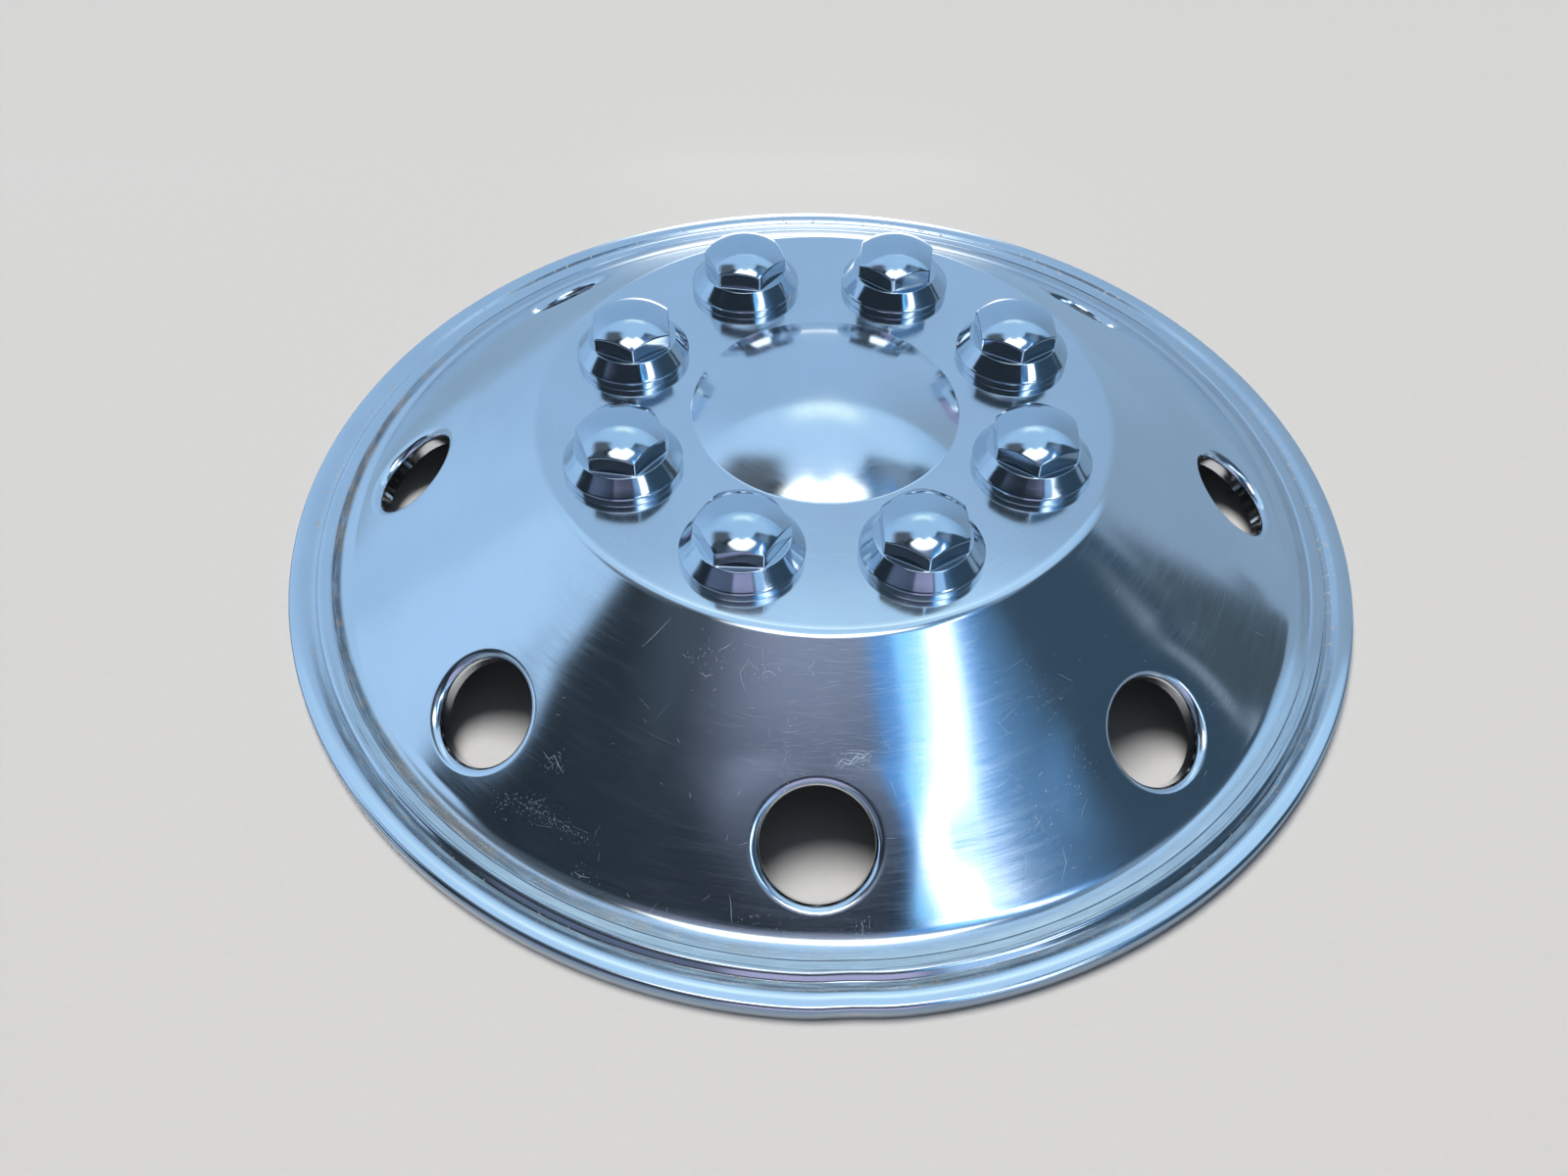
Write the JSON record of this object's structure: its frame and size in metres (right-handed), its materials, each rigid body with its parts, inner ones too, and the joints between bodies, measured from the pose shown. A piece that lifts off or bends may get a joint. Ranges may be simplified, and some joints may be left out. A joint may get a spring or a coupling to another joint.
{
  "type": "truck wheel simulator",
  "caption": "Polished stainless liner that covers a light truck's front wheel, with rolled hand holes, a hub dome and snap-in hexagonal lug nut covers",
  "frame": {"origin": "on the wheel's axis, in the plane of the rim's lower edge", "axes": "+Z along the wheel's axis and out of the liner's bright face; -Y toward the hand hole that is nearest in the picture, +X to its right"},
  "size_m": [0.4378, 0.4378, 0.0875],
  "materials": {
    "liner_steel": "mirror-polished stainless sheet",
    "nut_chrome": "bright plated",
    "ring_zinc": "zinc-plated spring steel",
    "grip_nylon": "moulded nylon"
  },
  "bodies": {
    "root": {"liner": "liner_steel", "nut_cover_1": "nut_chrome", "nut_cover_2": "nut_chrome", "nut_cover_3": "nut_chrome", "nut_cover_4": "nut_chrome", "nut_cover_5": "nut_chrome", "nut_cover_6": "nut_chrome", "nut_cover_7": "nut_chrome", "nut_cover_8": "nut_chrome", "retaining_ring_1": "ring_zinc", "retaining_ring_2": "ring_zinc", "retaining_ring_3": "ring_zinc", "retaining_ring_4": "ring_zinc", "retaining_ring_5": "ring_zinc", "retaining_ring_6": "ring_zinc", "retaining_ring_7": "ring_zinc", "retaining_ring_8": "ring_zinc", "nut_grip_1": "grip_nylon", "nut_grip_2": "grip_nylon", "nut_grip_3": "grip_nylon", "nut_grip_4": "grip_nylon", "nut_grip_5": "grip_nylon", "nut_grip_6": "grip_nylon", "nut_grip_7": "grip_nylon", "nut_grip_8": "grip_nylon"}
  },
  "joints": []
}
